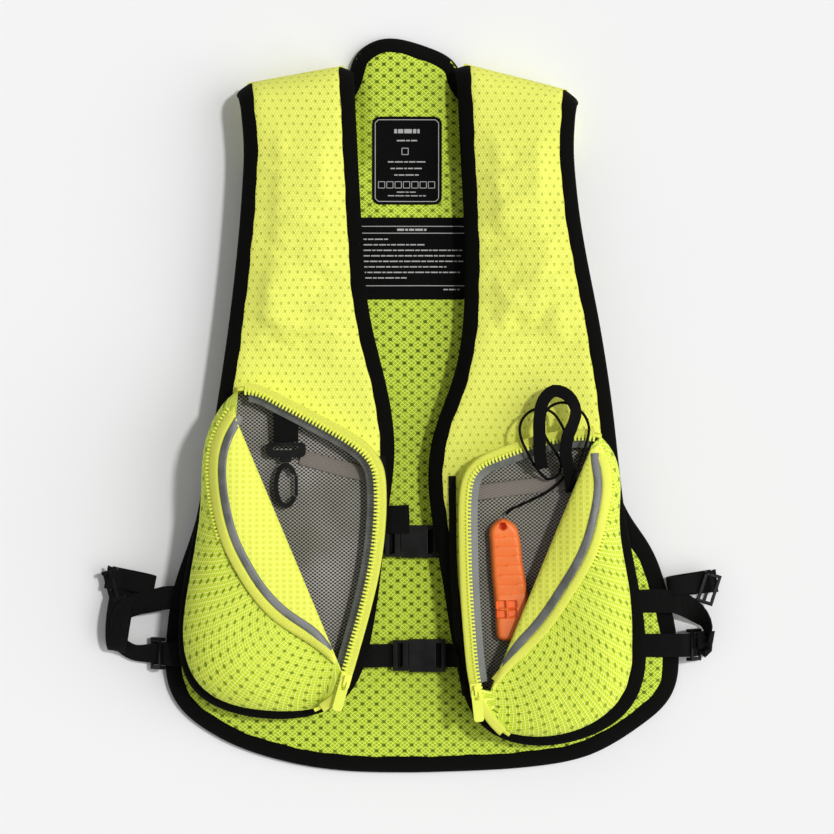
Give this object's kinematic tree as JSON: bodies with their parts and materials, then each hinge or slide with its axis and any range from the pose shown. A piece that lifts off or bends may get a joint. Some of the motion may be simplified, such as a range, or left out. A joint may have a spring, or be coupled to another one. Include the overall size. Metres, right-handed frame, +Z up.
{
  "type": "life jacket",
  "caption": "Flat-lying buoyancy vest of padded mesh fabric with two zipped pockets folded open, webbing side straps, release buckles, a whistle and a key clip.",
  "frame": {"origin": "centre of the footprint on the floor, as the vest lies flat on its back", "axes": "+Z up out of the floor, +Y towards the head end, +X to the wearer's left as seen from above"},
  "size_m": [0.5078, 0.6014, 0.0804],
  "materials": {
    "mesh_fabric": "neon yellow spacer mesh, matt with a light sheen",
    "foam": "closed-cell buoyancy foam, matt",
    "binding": "black ribbed binding tape, matt",
    "lining_mesh": "grey open net, matt",
    "zip": "moulded yellow zip, satin",
    "buckle_plastic": "black moulded acetal, satin",
    "webbing": "black woven webbing",
    "label": "black printed satin label",
    "whistle_plastic": "orange moulded plastic, satin",
    "cord": "black braided cord"
  },
  "bodies": {
    "root": {"back_outer_shell": "mesh_fabric", "back_foam": "foam", "back_inner_mesh": "mesh_fabric", "back_binding": "binding", "neck_binding": "binding", "care_label": "label", "warning_label": "label", "left_shoulder_pad": "mesh_fabric", "right_shoulder_pad": "mesh_fabric", "left_upper_strap": "webbing", "left_lower_strap": "webbing", "left_strap_tail": "webbing", "right_upper_strap": "webbing", "right_lower_strap": "webbing", "right_strap_tail": "webbing", "left_lower_adjuster": "buckle_plastic", "right_lower_adjuster": "buckle_plastic"},
    "left_front": {"left_front_lining": "mesh_fabric", "left_front_foam": "foam", "left_front_shell": "mesh_fabric", "left_front_binding": "binding", "left_pocket_shell": "mesh_fabric", "left_pocket_lining": "lining_mesh", "left_organiser": "lining_mesh", "left_zip_tape": "zip", "key_tab": "webbing", "key_clip_eye": "buckle_plastic"},
    "right_front": {"right_front_lining": "mesh_fabric", "right_front_foam": "foam", "right_front_shell": "mesh_fabric", "right_front_binding": "binding", "right_pocket_shell": "mesh_fabric", "right_pocket_lining": "lining_mesh", "right_organiser": "lining_mesh", "right_zip_tape": "zip", "upper_buckle_female": "buckle_plastic", "lower_buckle_female": "buckle_plastic", "upper_buckle_right_webbing": "webbing", "lower_buckle_right_webbing": "webbing", "whistle_cord": "cord", "tether_loop": "webbing"},
    "left_flap": {"left_flap": "mesh_fabric"},
    "right_flap": {"right_flap": "mesh_fabric"},
    "left_slider": {"left_zip_slider": "zip"},
    "left_pull": {"left_zip_pull": "zip"},
    "right_slider": {"right_zip_slider": "zip"},
    "right_pull": {"right_zip_pull": "zip"},
    "upper_male": {"upper_buckle_male": "buckle_plastic", "upper_buckle_left_webbing": "webbing"},
    "upper_prong_a": {"upper_buckle_prong_a": "buckle_plastic"},
    "upper_prong_b": {"upper_buckle_prong_b": "buckle_plastic"},
    "lower_male": {"lower_buckle_male": "buckle_plastic", "lower_buckle_left_webbing": "webbing"},
    "lower_prong_a": {"lower_buckle_prong_a": "buckle_plastic"},
    "lower_prong_b": {"lower_buckle_prong_b": "buckle_plastic"},
    "key_hook": {"key_hook": "buckle_plastic"},
    "key_gate": {"key_hook_gate": "buckle_plastic"},
    "whistle": {"whistle": "whistle_plastic"},
    "left_upper_adjuster": {"left_upper_adjuster": "buckle_plastic"},
    "right_upper_adjuster": {"right_upper_adjuster": "buckle_plastic"}
  },
  "joints": [
    {"name": "left_front_open", "type": "hinge", "parent": "root", "child": "left_front", "pos_m": [-0.14, 0.258, 0.0295], "axis": [-0.1168, -0.9932, 0], "range_deg": [0, 60]},
    {"name": "right_front_open", "type": "hinge", "parent": "root", "child": "right_front", "pos_m": [0.14, 0.258, 0.0295], "axis": [-0.1168, 0.9932, 0], "range_deg": [0, 60]},
    {"name": "left_flap_fold", "type": "hinge", "parent": "left_front", "child": "left_flap", "pos_m": [-0.141, -0.012, 0.0678], "axis": [-0.387, 0.9221, 0], "range_deg": [0, 155]},
    {"name": "right_flap_fold", "type": "hinge", "parent": "right_front", "child": "right_flap", "pos_m": [0.145, -0.033, 0.0678], "axis": [-0.3822, -0.9241, 0], "range_deg": [0, 100]},
    {"name": "left_zip_slide", "type": "slide", "parent": "left_front", "child": "left_slider", "axis": [0.2723, 0.9622, 0], "range_m": [0, 0.06]},
    {"name": "right_zip_slide", "type": "slide", "parent": "right_front", "child": "right_slider", "axis": [-0.1104, 0.9939, 0], "range_m": [0, 0.06]},
    {"name": "left_pull_swing", "type": "hinge", "parent": "left_slider", "child": "left_pull", "pos_m": [-0.053, -0.222, 0.0726], "axis": [0.9622, -0.2723, 0], "range_deg": [-80, 0]},
    {"name": "right_pull_swing", "type": "hinge", "parent": "right_slider", "child": "right_pull", "pos_m": [0.052, -0.23, 0.0726], "axis": [0.9939, 0.1104, 0], "range_deg": [-80, 0]},
    {"name": "upper_buckle_release", "type": "slide", "parent": "left_front", "child": "upper_male", "axis": [-1, 0, 0], "range_m": [0, 0.02]},
    {"name": "upper_prong_a_squeeze", "type": "hinge", "parent": "upper_male", "child": "upper_prong_a", "pos_m": [-0.0087, -0.1054, 0.0227], "axis": [0, 0, -1], "range_deg": [0, 8], "stiffness_Nm_per_rad": 0.05},
    {"name": "upper_prong_b_squeeze", "type": "hinge", "parent": "upper_male", "child": "upper_prong_b", "pos_m": [-0.0087, -0.1186, 0.0227], "axis": [0, 0, 1], "range_deg": [0, 8], "stiffness_Nm_per_rad": 0.05},
    {"name": "lower_buckle_release", "type": "slide", "parent": "left_front", "child": "lower_male", "axis": [-1, 0, 0], "range_m": [0, 0.02]},
    {"name": "lower_prong_a_squeeze", "type": "hinge", "parent": "lower_male", "child": "lower_prong_a", "pos_m": [-0.0021, -0.1984, 0.0227], "axis": [0, 0, -1], "range_deg": [0, 8], "stiffness_Nm_per_rad": 0.05},
    {"name": "lower_prong_b_squeeze", "type": "hinge", "parent": "lower_male", "child": "lower_prong_b", "pos_m": [-0.0021, -0.2116, 0.0227], "axis": [0, 0, 1], "range_deg": [0, 8], "stiffness_Nm_per_rad": 0.05},
    {"name": "key_hook_swivel", "type": "hinge", "parent": "left_front", "child": "key_hook", "pos_m": [-0.101, -0.047, 0.0551], "axis": [0, 1, 0], "range_deg": [-20, 20]},
    {"name": "key_gate_open", "type": "hinge", "parent": "key_hook", "child": "key_gate", "pos_m": [-0.09265, -0.0741, 0.0551], "axis": [0, 0, 1], "range_deg": [0, 15], "stiffness_Nm_per_rad": 0.01},
    {"name": "whistle_swing", "type": "hinge", "parent": "right_front", "child": "whistle", "pos_m": [0.0745, -0.0985, 0.0545], "axis": [0, 0, 1], "range_deg": [-8, 8]},
    {"name": "left_upper_adjust", "type": "slide", "parent": "root", "child": "left_upper_adjuster", "axis": [0.9525, 0.2808, 0.1182], "range_m": [-0.004, 0.004]},
    {"name": "right_upper_adjust", "type": "slide", "parent": "root", "child": "right_upper_adjuster", "axis": [-0.9442, 0.3081, 0.1167], "range_m": [-0.004, 0.004]}
  ],
  "couplings": [
    {"joint": "upper_prong_b_squeeze", "follows": "upper_prong_a_squeeze", "ratio": 1},
    {"joint": "lower_prong_b_squeeze", "follows": "lower_prong_a_squeeze", "ratio": 1}
  ]
}
